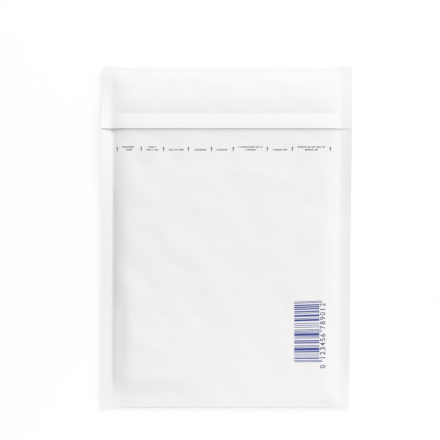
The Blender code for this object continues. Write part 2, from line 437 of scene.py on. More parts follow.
# Each dent: its centre, depth, width, length and turn. The last one runs down beside the left crease.
DENTS = (
    ((-21 * MM, 61 * MM), 0.9 * MM, 8 * MM, 13 * MM, math.radians(40)),
    ((-69 * MM, 59 * MM), 0.7 * MM, 7 * MM, 11 * MM, math.radians(20)),
    ((6 * MM - SIDE_CREASE, -82 * MM), 1.25 * MM, 5.5 * MM, 32 * MM, math.radians(90)),
)

# Where the ripples reach their full height from the seams, and where flap, fold and lip hold them down.
FRONT_RIPPLES_GROW = 16 * MM
FLAP_RIPPLES_GROW = 14 * MM
COVERED_FROM = (FLAP_EDGE - 12 * MM, FLAP_EDGE + 2 * MM)
FOLD_HOLDS = (6 * MM, 16 * MM)
LIP_STARTS = (PADDING_END - 2 * MM, PADDING_END)
LIP_CALM = 0.75


def turned(x, y, across, along, turn):
    """The same place in widths and lengths of a fold that runs at an angle to +X."""
    lengthwise = (x * math.cos(turn) + y * math.sin(turn)) / along
    sideways = (y * math.cos(turn) - x * math.sin(turn)) / across
    return lengthwise, sideways


def layer(x, y, height, across, along, turn, seed):
    """One layer of ripples: smooth noise, up and down by its height, in folds of one width and length."""
    lengthwise, sideways = turned(x, y, across, along, turn)
    values = [noise.noise(Vector((u, v, seed))) for u, v in zip(lengthwise.ravel(), sideways.ravel())]
    return height * np.array(values).reshape(x.shape)


def dent(x, y, centre, depth, across, along, turn):
    """One shallow hollow: an ellipse of those widths, turned to run at an angle to +X."""
    lengthwise, sideways = turned(x - centre[0], y - centre[1], across, along, turn)
    return -depth * np.exp(-(lengthwise**2) - sideways**2)


def worn_share(x):
    """The left half has been handled more than the right."""
    return blend(WORN_AT_RIGHT, 1, ease(-x, *WORN_TOWARDS_LEFT))


def front_ripples(x, y):
    padded = from_seams(x, FRONT_RIPPLES_GROW)
    uncovered = 1 - ease(y, *COVERED_FROM)
    moved = worn_share(x) * layer(x, y, *LONG_RIPPLES)
    moved += layer(x, y, *SHORT_RIPPLES) + layer(x, y, *BUBBLE_RIPPLES)
    moved += sum(dent(x, y, *shape) for shape in DENTS)
    swelling = SWELLING_UNDER_LIP * np.exp(-(((y - FLAP_EDGE) / ROLL_UNDER_LIP) ** 2))
    drawn_up = DRAWN_UP * np.exp(-np.abs(y - FLAP_EDGE) / DRAWN_UP_REACH)
    return (moved * uncovered + swelling + drawn_up) * padded


def flap_ripples(x, y):
    from_fold = TOP - y
    padded = from_seams(x, FLAP_RIPPLES_GROW) * ease(from_fold, *FOLD_HOLDS)
    lip = 1 - LIP_CALM * ease(from_fold, *LIP_STARTS)
    return (layer(x, y, *FLAP_MOTTLING) + layer(x, y, *FLAP_RIPPLES)) * padded * lip


middle_line = front_ripples(*np.meshgrid(0.0, rest[0, :, 1]))
print("highest ripple on the middle line:", in_mm(middle_line.max()))

# %% [markdown]
# ## A cloth run
#
# Noise makes ripples but not the way paper gives in. So the front and the flap are each run as cloth, on a
# plain grid held along its border, with paper that is nearly a thousandth too long. It has to buckle, and
# it buckles as paper does, in folds that start at the seams and die out inside. Only a share of that
# movement is kept, smoothed by a spline, and the sleeve's own points take it up.

# %% Crumple the panels
CLOTH_STEP = 3.5 * MM
CLOTH_FRAMES = 20
PAPER_GROWTH = 0.0008
IN_PLANE_STIFFNESS = 40
BENDING_STIFFNESS = 2
CRUMPLE_SHARE = 0.4
CRUMPLE_CAP = 2 * MM


def cloth_settings(modifier):
    """Stiff in its plane and stiff to bend, without weight, air or collisions."""
    settings = modifier.settings
    settings.quality = 8
    settings.tension_stiffness = IN_PLANE_STIFFNESS
    settings.compression_stiffness = IN_PLANE_STIFFNESS
    settings.shear_stiffness = IN_PLANE_STIFFNESS
    settings.bending_stiffness = BENDING_STIFFNESS
    settings.shrink_min = -PAPER_GROWTH
    settings.vertex_group_mass = "held"
    settings.effector_weights.gravity = 0
    modifier.collision_settings.use_collision = False


def crumpled(height, ripples, low, high):
    """Runs one panel as cloth from low to high along the envelope. Returns each grid point's rise."""
    across = np.linspace(-SIDE_CREASE, SIDE_CREASE, round(2 * SIDE_CREASE / CLOTH_STEP) + 1)
    along = np.linspace(low, high, round((high - low) / CLOTH_STEP) + 1)
    x, y = np.meshgrid(across, along, indexing="ij")
    z = height(x, y) + ripples(x, y) / 2
    corner = np.arange(x.size).reshape(x.shape)
    quads = np.stack([corner[:-1, :-1], corner[1:, :-1], corner[1:, 1:], corner[:-1, 1:]], axis=-1)
    points = np.stack([x, y, z], axis=-1).reshape(-1, 3)
    panel = mesh_object("paper_panel", points.tolist(), [], quads.reshape(-1, 4).tolist())
    border = np.concatenate([corner[0], corner[-1], corner[:, 0], corner[:, -1]])
    panel.vertex_groups.new(name="held").add(np.unique(border).tolist(), 1.0, "REPLACE")
    cloth_settings(panel.modifiers.new("paper", "CLOTH"))
    for number in range(1, CLOTH_FRAMES + 1):
        bpy.context.scene.frame_set(number)
    run = panel.evaluated_get(bpy.context.evaluated_depsgraph_get()).data
    risen = np.array([vertex.co.z for vertex in run.vertices]).reshape(x.shape) - z
    bpy.data.objects.remove(panel)
    bpy.context.scene.frame_set(1)
    return np.clip(risen, -CRUMPLE_CAP, CRUMPLE_CAP)


def spline_weights(t):
    s = 1 - t
    return [s**3 / 6, (3 * t**3 - 6 * t**2 + 4) / 6, (3 * s**3 - 6 * s**2 + 4) / 6, t**3 / 6]


def crumple_at(risen, low, high, x, y):
    """The rise at any place on a panel, blended by a cubic spline from the sixteen grid points round it."""
    rows, columns = risen.shape
    u = np.clip((x + SIDE_CREASE) / (2 * SIDE_CREASE), 0, 1) * (rows - 1)
    v = np.clip((y - low) / (high - low), 0, 1) * (columns - 1)
    i, j = np.floor(u).astype(int), np.floor(v).astype(int)
    total = np.zeros(x.shape)
    for a, weight_u in enumerate(spline_weights(u - i)):
        for b, weight_v in enumerate(spline_weights(v - j)):
            row, column = np.clip(i + a - 1, 0, rows - 1), np.clip(j + b - 1, 0, columns - 1)
            total += weight_u * weight_v * risen[row, column]
    return total


panel_ends = {"front": (BOTTOM + BOTTOM_DEPTH, FLAP_EDGE), "flap": (LIP_CREASE, TOP - FOLD_DEPTH)}
panel_forms = {"front": (front_height, front_ripples), "flap": (flap_height, flap_ripples)}
panel_rises = {}
for name, form in panel_forms.items():
    panel_rises[name] = crumpled(*form, *panel_ends[name])
    print(name, "buckled by up to", in_mm(np.abs(panel_rises[name]).max()))

# %% Move the loft's points
ripples = np.zeros(rest.shape[:2])
for name, sheets in (("front", ["front"]), ("flap", ["flap", "inside"])):
    where = np.isin(panels, sheets)
    x, y = rest[:, where, 0], rest[:, where, 1]
    ripples[:, where] = panel_forms[name][1](x, y)
    if name in panel_rises:
        share = CRUMPLE_SHARE * worn_share(x)
        ripples[:, where] += share * crumple_at(panel_rises[name], *panel_ends[name], x, y)
last_of_front = int(np.flatnonzero(panels == "front")[-1])
ripples[:, panels == "foot"] = ripples[:, [last_of_front]] * sheet_sides[panels == "foot"]

shaped = rest.copy()
shaped[..., 2] += ripples
shaped[..., 0] += LEAN * shaped[..., 1] * blend(BODY_LEAN_SHARE, 1, margin_share(rest[..., 0]))
foot_heights = rest[:, [last_of_front], 2]
flatness = 1 - foot_heights / foot_heights.max()
shaped[..., 1] -= FLAT_REACH * flatness * (1 - ease(rest[..., 1] - BOTTOM, 0, BOTTOM_TAPER))
print("ripples move the paper by up to", in_mm(np.abs(ripples).max()))

# %% [markdown]
# ## The finished sleeve
#
# The loft's points become one closed mesh. Its cut edges get a material of their own, with a painted shadow
# line where the two sheets meet, and each point remembers which side of the sheet it is on, so that this
# line follows the edge.

# %% The sleeve as one mesh
SHARP_FROM = math.radians(40)


def paper_sleeve(points, side):
    made = skin("paper_sleeve", points)
    mesh = made.data
    sheet_side = mesh.attributes.new("sheet_side", "FLOAT", "POINT")
    sheet_side.data.foreach_set("value", np.tile(side, points.shape[0]).astype(np.float32))
    bm = bmesh.new()
    bm.from_mesh(mesh)
    bm.faces.ensure_lookup_table()
    caps = [face for face in bm.faces if len(face.verts) > 4]
    for face in bmesh.ops.triangulate(bm, faces=caps)["faces"]:
        face.material_index = 1
    bmesh.ops.recalc_face_normals(bm, faces=bm.faces)
    bm.to_mesh(mesh)
    bm.free()
    mesh.shade_smooth()
    mesh.set_sharp_from_angle(angle=SHARP_FROM)
    return made


sleeve = paper_sleeve(shaped, sheet_sides)
sleeve.data.calc_loop_triangles()
print("paper sleeve:", len(sleeve.data.loop_triangles), "triangles")

# %% [markdown]
# ## Writing materials as sums
#
# A material here is arithmetic on textures. Wiring Math nodes by hand hides that arithmetic, so a wire gets
# the signs +, -, * and /, and one method makes any other node from its settings and its sockets' values.

# %% A wire that can be added and multiplied


class Wire:
    """One output socket in a node tree. Arithmetic on wires adds Math nodes to that tree."""

    def __init__(self, tree, socket=None):
        self.tree = tree
        self.socket = socket

    def node(self, kind, settings=None, inputs=None, output=0):
        """Adds a node, with its settings first and then its sockets, and returns the wire out of it."""
        made = self.tree.nodes.new(kind)
        for name, value in (settings or {}).items():
            setattr(made, name, value)
        for key, value in (inputs or {}).items():
            if isinstance(value, Wire):
                self.tree.links.new(value.socket, made.inputs[key])
            else:
                made.inputs[key].default_value = value
        return Wire(self.tree, made.outputs[output])

    def math(self, operation, first, second):
        return self.node("ShaderNodeMath", {"operation": operation}, {0: first, 1: second})

    def __add__(self, other):
        return self.math("ADD", self, other)

    __radd__ = __add__

    def __sub__(self, other):
        return self.math("SUBTRACT", self, other)

    def __rsub__(self, other):
        return self.math("SUBTRACT", other, self)

    def __mul__(self, other):
        return self.math("MULTIPLY", self, other)

    __rmul__ = __mul__

    def __truediv__(self, other):
        return self.math("DIVIDE", self, other)

    def __rtruediv__(self, other):
        return self.math("DIVIDE", other, self)

    def __abs__(self):
        return self.node("ShaderNodeMath", {"operation": "ABSOLUTE"}, {0: self})

    def or_else(self, other):
        """1 where either of two yes-or-no wires is 1."""
        return self.math("MAXIMUM", self, other)

    def vector(self, **axes):
        return self.node("ShaderNodeCombineXYZ", None, axes)

    def mapped(self, low, high, to_low, to_high):
        """This value, taken from one range to another and held within it."""
        stops = {"From Min": low, "From Max": high, "To Min": to_low, "To Max": to_high}
        return self.node("ShaderNodeMapRange", None, {"Value": self, **stops})

    def tint(self, color_a, color_b):
        """The first colour where this value is 0 and the second where it is 1."""
        colors = {"Factor": self, 6: color_a, 7: color_b}
        return self.node("ShaderNodeMix", {"data_type": "RGBA"}, colors, output=2)

    def texture(self, kind, size, settings=None, **sockets):
        """A noise, voronoi or wave texture whose pattern repeats about every size, in metres."""
        place = self.node("ShaderNodeTexCoord", output=3)
        return self.node(kind, settings, {"Vector": place, "Scale": 1 / size, **sockets})


def principled(name, roughness, specular):
    """A material's shader, a wire to build on in its tree, and the material itself."""
    made = bpy.data.materials.new(name)
    made.use_nodes = True
    shader = made.node_tree.nodes["Principled BSDF"]
    shader.inputs["Roughness"].default_value = roughness
    shader.inputs["Specular IOR Level"].default_value = specular
    shader.inputs["Metallic"].default_value = 0
    return made, shader, Wire(made.node_tree)


def connect(wire, shader, socket):
    wire.tree.links.new(wire.socket, shader.inputs[socket])


print("wires can be added, subtracted, multiplied and divided")

# %% [markdown]
# ## White paper
#
# Machine-glazed white paper is matt, with a cloudy sheet formation a few millimetres across and a fine
# grain of fibres that is only felt as a slight unevenness of shade. The film's bubbles show through as
# faint domes at their own pitch. The margins were pressed by a hot bar, which leaves them a touch smoother
# and warmer. The middle of the top fold, where it catches the most light, is a painted shade darker. Relief
# is given in millimetres, here as in the bump's distance.

# %% White paper and its cut edge
PAPER = (0.868, 0.868, 0.866, 1)
PAPER_CLOUD = (0.862, 0.862, 0.859, 1)
PAPER_PRESSED = (0.861, 0.860, 0.855, 1)
# Painted shade: the middle of the top fold is made this much darker, to tone down the light it catches.
PAPER_FOLD_SHADE = (0.82, 0.82, 0.815, 1)
EDGE_SHADE = (0.70, 0.695, 0.68, 1)
# Painted shadow: the dark line where the two sheets meet at the cut edge, in place of a notch's own shade.
EDGE_GAP_SHADOW = (0.33, 0.32, 0.30, 1)
GAP_SHARE = 0.12

CLOUD_SIZE = 7 * MM
FIBRE_SIZE = 1.6 * MM
GRAIN_SIZE = 0.35 * MM
DOME_RELIEF = 0.05
FIBRE_RELIEF = 0.02
GRAIN_RELIEF = 0.012

PRESSED_FROM = (SIDE_CREASE - 0.5 * MM, SIDE_CREASE + 0.8 * MM)
PRESSED_TINT = 0.6
FOLD_SHADE_FROM = (TOP - 2.3 * MM, TOP - 1.3 * MM)
FOLD_SHADE_ENDS = (50 * MM, 88 * MM)


def white_paper():
    material, shader, wire = principled("white_paper", 0.82, 0.25)
    cloud = wire.texture("ShaderNodeTexNoise", CLOUD_SIZE, Detail=3.0, Roughness=0.6)
    grain = wire.texture("ShaderNodeTexNoise", GRAIN_SIZE, Detail=2.0, Roughness=0.7)
    fibres = wire.texture("ShaderNodeTexNoise", FIBRE_SIZE, Detail=4.0, Roughness=0.75, Distortion=1.5)
    smooth = {"feature": "SMOOTH_F1"}
    bubbles = wire.texture("ShaderNodeTexVoronoi", BUBBLE_PITCH, smooth, Randomness=0.2, Smoothness=0.8)

    place = {"Vector": wire.node("ShaderNodeTexCoord", output=3)}
    across, along = [wire.node("ShaderNodeSeparateXYZ", None, place, output=i) for i in (0, 1)]
    pressed = abs(across).mapped(*PRESSED_FROM, 0, 1)
    # Painted shade along the middle of the top fold.
    fold_shade = along.mapped(*FOLD_SHADE_FROM, 0, 1) * abs(across).mapped(*FOLD_SHADE_ENDS, 1, 0)

    clouded = cloud.mapped(0.35, 0.7, 0, 1).tint(PAPER, PAPER_CLOUD)
    sheet = (pressed * PRESSED_TINT).tint(clouded, PAPER_PRESSED)
    connect(fold_shade.tint(sheet, PAPER_FOLD_SHADE), shader, "Base Color")
    connect(0.84 - pressed * 0.08 + (grain - 0.5) * 0.1, shader, "Roughness")

    domes = (0.5 - bubbles) * DOME_RELIEF * (1 - pressed)
    relief = domes + (fibres - 0.5) * FIBRE_RELIEF + (grain - 0.5) * GRAIN_RELIEF
    bump = wire.node("ShaderNodeBump", None, {"Height": relief, "Distance": MM, "Strength": 1.0})
    connect(bump, shader, "Normal")
    return material


def cut_edge():
    """Two pressed sheets' cut edge: pale paper, and a painted shadow line where they meet over the film."""
    material, shader, wire = principled("cut_paper_edge", 0.9, 0.2)
    side = wire.node("ShaderNodeAttribute", {"attribute_name": "sheet_side"}, output=2)
    ragged = wire.texture("ShaderNodeTexNoise", 0.6 * MM, Detail=3.0, Roughness=0.7)
    # Painted shadow line between the two sheets, ragged along the edge.
    gap_shadow = (abs(side - 0.5) - ragged * GAP_SHARE).mapped(0.0, GAP_SHARE, 1, 0)
    connect(gap_shadow.tint(EDGE_SHADE, EDGE_GAP_SHADOW), shader, "Base Color")
    bump = wire.node("ShaderNodeBump", None, {"Height": ragged * 0.1, "Distance": MM, "Strength": 0.6})
    connect(bump, shader, "Normal")
    return material


sleeve.data.materials.append(white_paper())
sleeve.data.materials.append(cut_edge())
print("paper materials:", [material.name for material in sleeve.data.materials])

# %% [markdown]
# ## Printing on a soft surface
#
# Ink has no thickness to speak of, but it has sharp edges, which a texture of the whole envelope could not
# hold. So each mark is a wafer a few hundredths of a millimetre thick. It is made flat, divided finely
# enough to bend, and then laid on the front by dropping each of its points onto the paper.

# %% Laying print on the front
INK_THICKNESS = 0.05 * MM
INK_STANDS = 0.03 * MM
DROP_FROM = 50 * MM

front_of_sleeve = BVHTree.FromObject(sleeve, bpy.context.evaluated_depsgraph_get())


def paper_height(x, y):
    return front_of_sleeve.ray_cast(Vector((x, y, DROP_FROM)), Vector((0, 0, -1)))[0].z


def lay_on_front(piece):
    """Moves each point of a flat piece, made around height 0, by the height of the paper under it."""
    for vertex in piece.data.vertices:
        vertex.co.z += paper_height(vertex.co.x, vertex.co.y) + INK_STANDS - INK_THICKNESS / 2
    return piece


def plain_mesh(source):
    """A plain mesh of what an object looks like with its modifiers run. The object itself is removed."""
    bpy.context.view_layer.update()
    mesh = bpy.data.meshes.new_from_object(source.evaluated_get(bpy.context.evaluated_depsgraph_get()))
    bpy.data.objects.remove(source)
    return mesh


def baked(name, source, tree, ink, **sizes):
    """Runs a node tree on a mesh that carries its places, and keeps the result as a plain mesh."""
    modifier = source.modifiers.new(name, "NODES")
    modifier.node_group = tree
    inputs = {"Ink": ink, "Thickness": INK_THICKNESS, **sizes}
    for item in tree.interface.items_tree:
        key = item.name.replace(" ", "_")
        if key in inputs:
            modifier[item.identifier] = inputs[key]
    return placed(name, plain_mesh(source))


def carrier(name, points, edges=(), **values):
    """A mesh of loose points or edges that carries named numbers for a node tree to read."""
    made = mesh_object(name, [(x, y, 0) for x, y in points], edges, [])
    for key, numbers in values.items():
        made.data.attributes.new(key, "FLOAT", "POINT").data.foreach_set("value", numbers)
    return made


def ink(name, color, worn, fine):
    """Flexographic ink on rough paper: matt, a little lighter where it missed the fibres."""
    material, shader, wire = principled(name, 0.62, 0.3)
    missed = wire.texture("ShaderNodeTexNoise", fine, Detail=3.0, Roughness=0.7)
    connect(missed.mapped(0.50, 0.78, 0, 1).tint(color, worn), shader, "Base Color")
    connect(missed.mapped(0.3, 0.8, 0.58, 0.75), shader, "Roughness")
    return material


blue_ink = ink("blue_ink", (0.026, 0.052, 0.27, 1), (0.07, 0.115, 0.40, 1), 0.9 * MM)
grey_ink = ink("grey_ink", (0.022, 0.024, 0.060, 1), (0.075, 0.08, 0.14, 1), 0.6 * MM)
slate_ink = ink("slate_ink", (0.020, 0.028, 0.105, 1), (0.06, 0.07, 0.19, 1), 0.6 * MM)
print("height of the paper's middle:", in_mm(paper_height(0, 0)))

# %% [markdown]
# ## Barcode
#
# The code lies on its side: its bars run across the front and are stacked up it, with the longer guard bars
# reaching into the column of digits. A bar is the same wafer stretched to its own width, so one Geometry
# Nodes tree makes them all from a point for each bar. The number is a plain count, 0 123456 789012.

# %% Which bars the number gives
CODE_DIGITS = "0123456789012"
DIGITS_IN_HALF = 6
MODULES_PER_DIGIT = 7
END_GUARD = 3
MIDDLE_GUARD = 5
CODE_FROM_RIGHT = 25.6 * MM
CODE_FROM_BOTTOM = 37.5 * MM
CODE_WIDTH = 20.1 * MM
CODE_GUARD_EXTRA = 2.2 * MM
CODE_MODULE = 0.51 * MM
CODE_LEFT = WIDTH / 2 - CODE_FROM_RIGHT - CODE_WIDTH
CODE_FOOT = BOTTOM + CODE_FROM_BOTTOM
LEFT_PATTERNS = "0001101 0011001 0010011 0111101 0100011 0110001 0101111 0111011 0110111 0001011".split()
RIGHT_PATTERNS = [pattern.translate(str.maketrans("01", "10")) for pattern in LEFT_PATTERNS]


def code_bars(digits):
    """(start, width, is_guard) of each bar, in modules, of a code whose first digit is 0."""
    left = "".join(LEFT_PATTERNS[int(digit)] for digit in digits[1 : 1 + DIGITS_IN_HALF])
    right = "".join(RIGHT_PATTERNS[int(digit)] for digit in digits[1 + DIGITS_IN_HALF :])
    modules = "101" + left + "01010" + right + "101"
    starts = [i for i in range(len(modules)) if modules[i] == "1" and (i == 0 or modules[i - 1] == "0")]
    bars = []
    for start in starts:
        width = (modules + "0").index("0", start) - start
        at_end = min(start, len(modules) - start - width) < END_GUARD
        in_middle = abs(start + width / 2 - len(modules) / 2) < MIDDLE_GUARD / 2
        bars.append((start, width, at_end or in_middle))
    return bars


bars = code_bars(CODE_DIGITS)
print(len(bars), "bars, of which", sum(guard for _, _, guard in bars), "are guards")

# %% The bars
BAR_DIVISIONS = 22
HALF_MODULES = DIGITS_IN_HALF * MODULES_PER_DIGIT
CODE_HEIGHT = (2 * END_GUARD + 2 * HALF_MODULES + MIDDLE_GUARD) * CODE_MODULE
CODE_SKEW = 0.042


def skewed(piece):
    """Tips the code's upper bars a little up to the right, as on paper that ran askew through the press."""
    for vertex in piece.data.vertices:
        up = (vertex.co.y - CODE_FOOT) / CODE_HEIGHT
        vertex.co.y += CODE_SKEW * up * (vertex.co.x - CODE_LEFT - CODE_WIDTH / 2)
    return piece


def new_tree(name, *sizes):
    """A Geometry Nodes tree with inputs for its sizes, thickness and ink, and a wire out of each."""
    tree = bpy.data.node_groups.new(name, "GeometryNodeTree")
    tree.interface.new_socket("Geometry", in_out="OUTPUT", socket_type="NodeSocketGeometry")
    kinds = {"Geometry": "Geometry", **dict.fromkeys((*sizes, "Thickness"), "Float"), "Ink": "Material"}
    for key, kind in kinds.items():
        tree.interface.new_socket(key, in_out="INPUT", socket_type="NodeSocket" + kind)
    entry = tree.nodes.new("NodeGroupInput")
    return tree, {socket.name: Wire(tree, socket) for socket in entry.outputs if socket.name}


def finish_tree(tree, wires, **instances):
    """Ends a tree: one wafer on each point, made real, in the ink, out to the modifier."""
    start = wires["Geometry"]
    copies = start.node("GeometryNodeInstanceOnPoints", None, instances)
    real = start.node("GeometryNodeRealizeInstances", None, {"Geometry": copies})
    inked = start.node("GeometryNodeSetMaterial", None, {"Geometry": real, "Material": wires["Ink"]})
    exit_node = tree.nodes.new("NodeGroupOutput")
    tree.links.new(inked.socket, exit_node.inputs["Geometry"])
    return tree


def bars_tree():
    """A bar to the right of each point, as thick as the point says and longer where it is a guard."""
    tree, wires = new_tree("stacked_bars", "Module", "Length", "Guard Extra")
    start = wires["Geometry"]
    modules = start.node("GeometryNodeInputNamedAttribute", {"data_type": "FLOAT"}, {"Name": "modules"})
    guard = start.node("GeometryNodeInputNamedAttribute", {"data_type": "FLOAT"}, {"Name": "guard"})
    length = wires["Length"] + guard * wires["Guard Extra"]
    height = modules * wires["Module"]
    halfway = start.vector(X=length / 2, Y=height / 2)
    middles = start.node("GeometryNodeSetPosition", None, {"Geometry": start, "Offset": halfway})
    wafer = start.node("GeometryNodeMeshCube", None, {"Size": (1, 1, 1), "Vertices X": BAR_DIVISIONS})
    size = start.vector(X=length, Y=height, Z=wires["Thickness"])
    return finish_tree(tree, wires, Points=middles, Instance=wafer, Scale=size)


bar_starts = carrier(
    "bar_starts",
    [(CODE_LEFT, CODE_FOOT + start * CODE_MODULE) for start, _, _ in bars],
    modules=[float(width) for _, width, _ in bars],
    guard=[float(guard) for _, _, guard in bars],
)
bar_sizes = {"Module": CODE_MODULE, "Length": CODE_WIDTH, "Guard_Extra": CODE_GUARD_EXTRA}
barcode = baked("barcode_bars", bar_starts, bars_tree(), blue_ink, **bar_sizes)
lay_on_front(skewed(barcode))
print("bars:", len(barcode.data.polygons), "faces")

# %% [markdown]
# ## Digits
#
# The digits stand beside the bars and read upwards, turned a quarter to the left. They are tall and narrow,
# as such digits are when a code is squeezed. Each is a text object made into a mesh, so that it can be
# scaled to the exact height and laid on the paper like everything else that is printed. Their strokes are
# thin, so they are a little bolder than the type's own and in a slate tone of the ink.

# %% The column of digits
DIGIT_HEIGHT = 4.3 * MM
DIGIT_WIDTH = 2.5 * MM
DIGIT_GAP = 0.5 * MM
FIRST_DIGIT_DROP = 3.7 * MM
DIGIT_DIVISION = 0.6 * MM
DIGIT_BOLDNESS = 0.008
NARROW_ONE = 0.28
FIRST_HALF_START = END_GUARD
SECOND_HALF_START = END_GUARD + HALF_MODULES + MIDDLE_GUARD


def joined(name, pieces):
    """One mesh object out of several."""
    made = bmesh.new()
    for piece in pieces:
        made.from_mesh(piece.data)
        bpy.data.objects.remove(piece)
    bmesh.ops.triangulate(made, faces=[face for face in made.faces if len(face.verts) > 4])
    bmesh.ops.recalc_face_normals(made, faces=made.faces)
    mesh = bpy.data.meshes.new(name)
    made.to_mesh(mesh)
    made.free()
    return placed(name, mesh)


def divided(piece, step):
    """Cuts a piece across +X at every step, so that it has points enough to bend with the paper."""
    work = bmesh.new()
    work.from_mesh(piece.data)
    ends = [vertex.co.x for vertex in work.verts]
    for place in np.arange(min(ends) + step, max(ends), step):
        everything = [*work.verts, *work.edges, *work.faces]
        bmesh.ops.bisect_plane(work, geom=everything, plane_co=(place, 0, 0), plane_no=(1, 0, 0))
    work.to_mesh(piece.data)
    work.free()
    return piece


def printed_digit(digit, centre_y):
    """One digit, turned to read upwards, with its foot away from the bars."""
    text = bpy.data.curves.new("digit", "FONT")
    text.body = digit
    text.extrude = INK_THICKNESS / 2
    text.offset = DIGIT_BOLDNESS
    text.resolution_u = 4
    mesh = plain_mesh(placed("digit", text))
    corners = np.array([vertex.co for vertex in mesh.vertices])
    low, high = corners.min(0), corners.max(0)
    width = DIGIT_WIDTH * (NARROW_ONE if digit == "1" else 1.0)
    foot_x = CODE_LEFT + CODE_WIDTH + DIGIT_GAP + DIGIT_HEIGHT
    for vertex in mesh.vertices:
        across = (vertex.co.x - (low[0] + high[0]) / 2) / (high[0] - low[0]) * width
        up = (vertex.co.y - low[1]) / (high[1] - low[1]) * DIGIT_HEIGHT
        vertex.co = (foot_x - up, centre_y + across, vertex.co.z)
    return placed("digit_" + digit, mesh)


def digit_places():
    places = [CODE_FOOT - FIRST_DIGIT_DROP]
    for half_start in (FIRST_HALF_START, SECOND_HALF_START):
        middles = [half_start + MODULES_PER_DIGIT * (i + 0.5) for i in range(DIGITS_IN_HALF)]
        places += [CODE_FOOT + middle * CODE_MODULE for middle in middles]
    return places


digits = joined("barcode_digits", [printed_digit(d, y) for d, y in zip(CODE_DIGITS, digit_places())])
digits.data.materials.append(slate_ink)
lay_on_front(skewed(divided(digits, DIGIT_DIVISION)))
print("digits:", len(digits.data.polygons), "faces")

# %% [markdown]
# ## The row of marks under the flap
#
# Small arrows point at the flap, with lines of tiny print between them. At a step away the print is only a
# run of dark specks, so it is made as that: short wafers the size of letters, at a letter's pitch, some
# left out for the gaps between words and each with its own height. One Geometry Nodes tree does it, by
# resampling each line.

# %% Arrows and small print
MARKS_MIDDLE = FLAP_EDGE - 15.6 * MM
FIRST_ARROW = -WIDTH / 2 + 12.9 * MM
NOTE_CLEARANCE = 8.9 * MM
NOTE_WIDTHS = [10.5 * MM, 8.8 * MM, 11.1 * MM, 9.4 * MM, 8.5 * MM, 18.3 * MM, 11 * MM, 21.5 * MM]
UPPER_SHARES = [1, 0.6, 0, 0, 0, 1, 0, 1]
LOWER_SHARES = [0.4, 1, 1, 1, 1, 0.45, 1, 0.45]
UPPER_LINE = 0.85 * MM
LOWER_LINE = -1.35 * MM
LETTER_PITCH = 0.78 * MM
LETTER_WIDTH = 0.5 * MM
LETTER_HEIGHT = 1.35 * MM
SHORTEST_LETTER = 0.7
LETTERS_KEPT = 0.84
KEPT_SEED = 11
HEIGHT_SEED = 4
ARROW_RISE = 0.2 * MM
ARROW_HEAD = 1.6 * MM
ARROW_HEAD_WIDTH = 1.8 * MM
ARROW_STEM = 1.8 * MM
ARROW_STEM_WIDTH = 0.62 * MM


def arrow_tree():
    """A solid head over a short stem on each point."""
    tree, wires = new_tree("arrows", "Head", "Head Width", "Stem", "Stem Width")
    start = wires["Geometry"]
    cone = {"Vertices": 3, "Radius Top": 1.0, "Radius Bottom": 1.0, "Depth": 1.0}
    wedge = start.node("GeometryNodeMeshCone", None, cone)
    thickness = wires["Thickness"]
    head_size = start.vector(X=wires["Head"] / 1.5, Y=wires["Head Width"] / math.sqrt(3), Z=thickness)
    head = start.node("GeometryNodeTransform", None, {"Geometry": wedge, "Scale": head_size})
    upright = start.node("GeometryNodeTransform", None, {"Geometry": head, "Rotation": (0, 0, math.pi / 2)})
    stem_size = start.vector(X=wires["Stem Width"], Y=wires["Stem"], Z=thickness)
    stem = start.node("GeometryNodeMeshCube", None, {"Size": stem_size, "Vertices Y": 4})
    below = start.vector(Y=(wires["Stem"] + wires["Head"]) * -0.5)
    lowered = start.node("GeometryNodeTransform", None, {"Geometry": stem, "Translation": below})
    arrow = start.node("GeometryNodeJoinGeometry")
    for half in (upright, lowered):
        tree.links.new(half.socket, arrow.socket.node.inputs[0])
    return finish_tree(tree, wires, Points=start, Instance=arrow)


def print_tree():
    """Letter-sized wafers along each edge, a few left out and each with a height of its own."""
    tree, wires = new_tree("small_print", "Pitch", "Width", "Height")
    start = wires["Geometry"]
    line = {"Curve": start.node("GeometryNodeMeshToCurve", None, {"Mesh": start}), "Length": wires["Pitch"]}
    places = start.node("GeometryNodeResampleCurve", {"mode": "LENGTH"}, line)
    chance = {"Probability": LETTERS_KEPT, "Seed": KEPT_SEED}
    kept = start.node("FunctionNodeRandomValue", {"data_type": "BOOLEAN"}, chance, output=3)
    spread = {2: SHORTEST_LETTER, 3: 1.0, "Seed": HEIGHT_SEED}
    tall = start.node("FunctionNodeRandomValue", {"data_type": "FLOAT"}, spread, output=1)
    size = start.vector(X=wires["Width"], Y=tall * wires["Height"], Z=wires["Thickness"])
    wafer = start.node("GeometryNodeMeshCube", None, {"Size": (1, 1, 1)})
    return finish_tree(tree, wires, Points=places, Selection=kept, Instance=wafer, Scale=size)


def mark_row():
    """Where the arrows stand, and the two ends of each line of small print between them."""
    arrows, lines = [FIRST_ARROW], []
    for width, upper, lower in zip(NOTE_WIDTHS, UPPER_SHARES, LOWER_SHARES):
        middle = arrows[-1] + (width + NOTE_CLEARANCE) / 2
        for share, height in ((upper, UPPER_LINE), (lower, LOWER_LINE)):
            if share:
                reach, y = width / 2 * share, MARKS_MIDDLE + height
                lines.append(((middle - reach, y), (middle + reach, y)))
        arrows.append(arrows[-1] + width + NOTE_CLEARANCE)
    return arrows, lines


